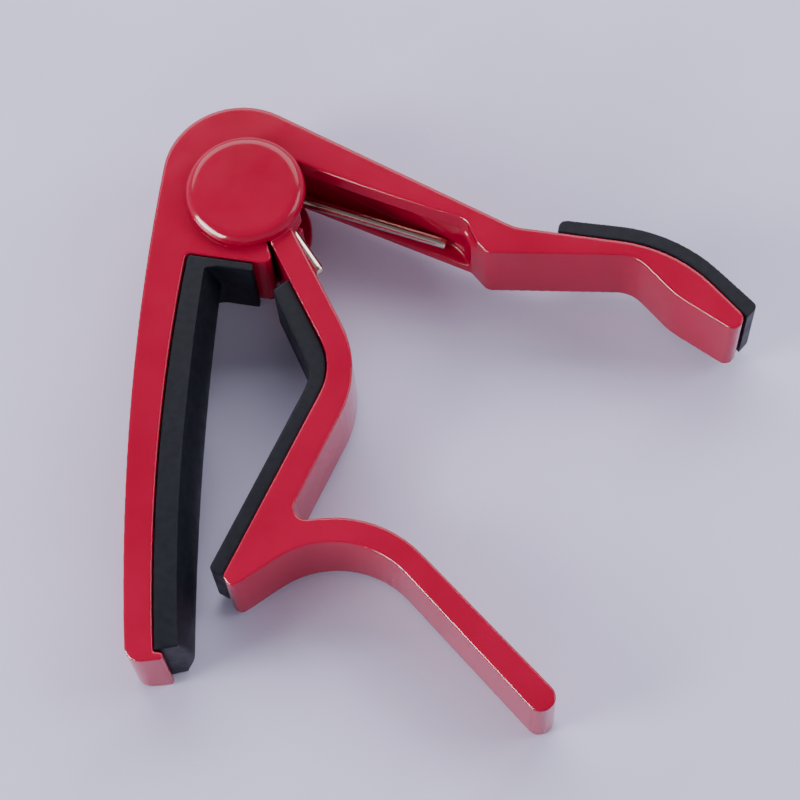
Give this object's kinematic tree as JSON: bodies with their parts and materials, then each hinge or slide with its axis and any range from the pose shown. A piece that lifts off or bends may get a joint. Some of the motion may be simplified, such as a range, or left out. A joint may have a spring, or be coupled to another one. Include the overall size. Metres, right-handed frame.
{
  "type": "guitar capo",
  "caption": "Trigger capo for a guitar: a painted cast frame with a padded string bar and handle, and a sprung trigger with a padded neck cradle and a finger lever.",
  "frame": {"origin": "under the middle of the part's bounding box, in the plane of the outer face of the back hub disc", "axes": "+Z along the hinge axis, from the back hub disc to the front one; the string bar hangs towards -Y and the fixed handle points towards +X"},
  "size_m": [0.0943, 0.0983, 0.0178],
  "materials": {
    "red_paint": "gloss",
    "silicone": "satin",
    "spring_steel": "bright",
    "pin_steel": "satin",
    "nylon": "natural"
  },
  "bodies": {
    "frame": {"main_frame": "red_paint", "string_pad": "silicone", "handle_grip_pad": "silicone", "torsion_spring": "spring_steel", "spring_sleeve": "nylon", "back_washer": "nylon", "front_washer": "nylon"},
    "trigger": {"trigger_arm": "red_paint", "neck_pad": "silicone", "pivot_pin": "pin_steel", "pivot_screw": "pin_steel"}
  },
  "joints": [
    {"name": "trigger_hinge", "type": "hinge", "parent": "frame", "child": "trigger", "pos_m": [-0.0254, 0.0342, 0.0089], "axis": [0, 0, 1], "range_deg": [0, 34], "stiffness_Nm_per_rad": 0.8, "springref_deg": -42.97, "deforming": ["torsion_spring"]}
  ]
}
